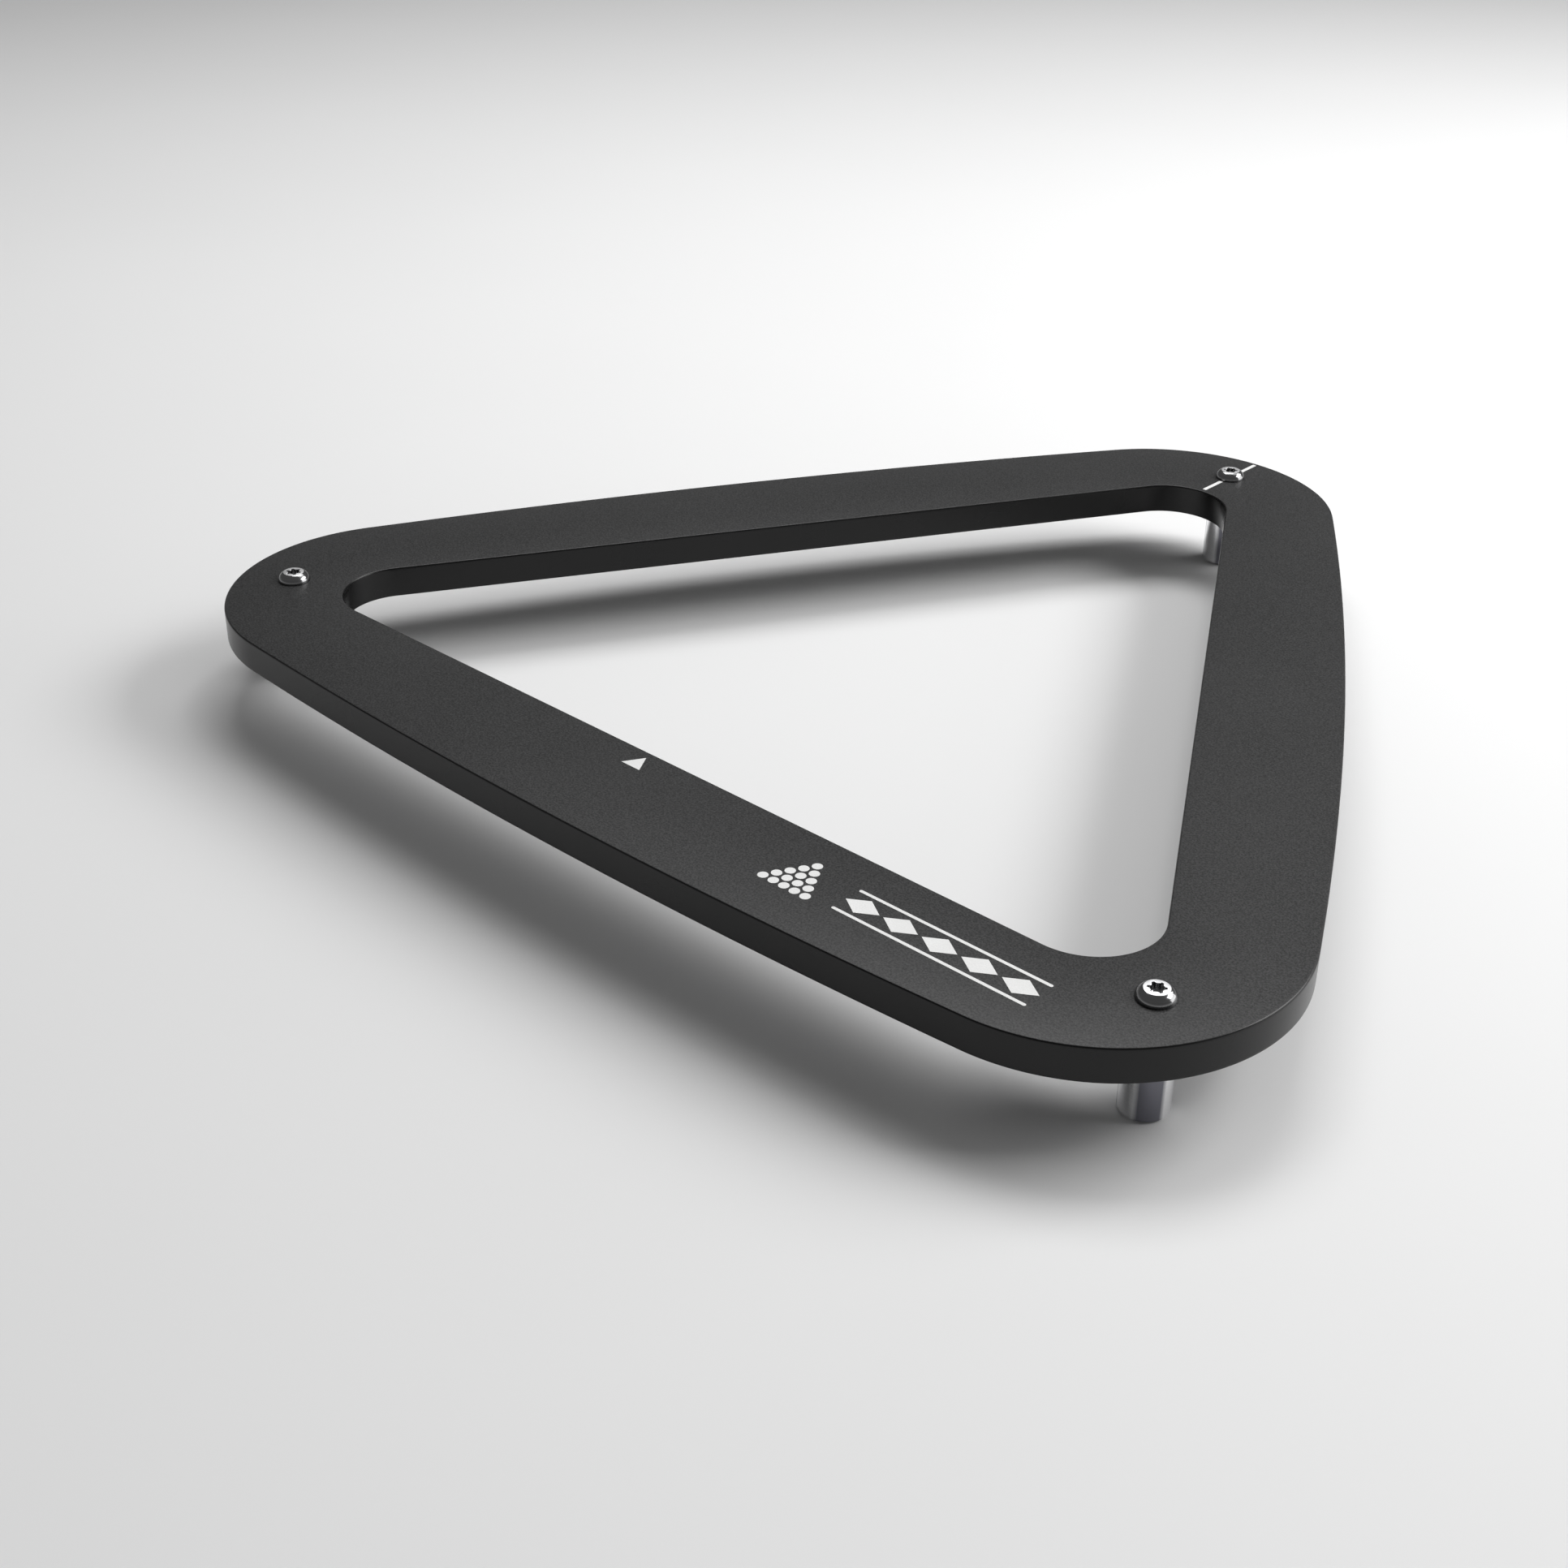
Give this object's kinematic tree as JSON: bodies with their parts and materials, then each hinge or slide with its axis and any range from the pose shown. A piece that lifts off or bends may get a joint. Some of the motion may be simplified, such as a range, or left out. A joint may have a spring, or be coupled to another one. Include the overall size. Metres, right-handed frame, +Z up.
{
  "type": "triangle rack",
  "caption": "Flat triangular rack that gathers pool balls inside a rounded three-cornered opening, held level with their middles by turned metal legs.",
  "frame": {"origin": "on the cloth, under the middle of the plate's outline", "axes": "+Z up; +Y from the middle of the base to the apex corner; +X along the base, to the right seen from behind the base"},
  "size_m": [0.3796, 0.3485, 0.0348],
  "materials": {
    "black_anodised": "bead-blasted and black anodised, fine even sparkle",
    "polished_screw": "bright stainless steel, button head with a six-lobed socket",
    "polished_leg": "turned and polished, faint turning lines round the leg",
    "foot_felt": "dense black felt",
    "white_filling": "matt white enamel, level with the plate"
  },
  "bodies": {
    "root": {"frame_plate": "black_anodised", "screw_left": "polished_screw", "screw_right": "polished_screw", "screw_apex": "polished_screw", "leg_left": "polished_leg", "leg_right": "polished_leg", "leg_apex": "polished_leg", "pad_left": "foot_felt", "pad_right": "foot_felt", "pad_apex": "foot_felt", "sight_mark": "white_filling", "apex_line": "white_filling", "badge": "white_filling"}
  },
  "joints": []
}
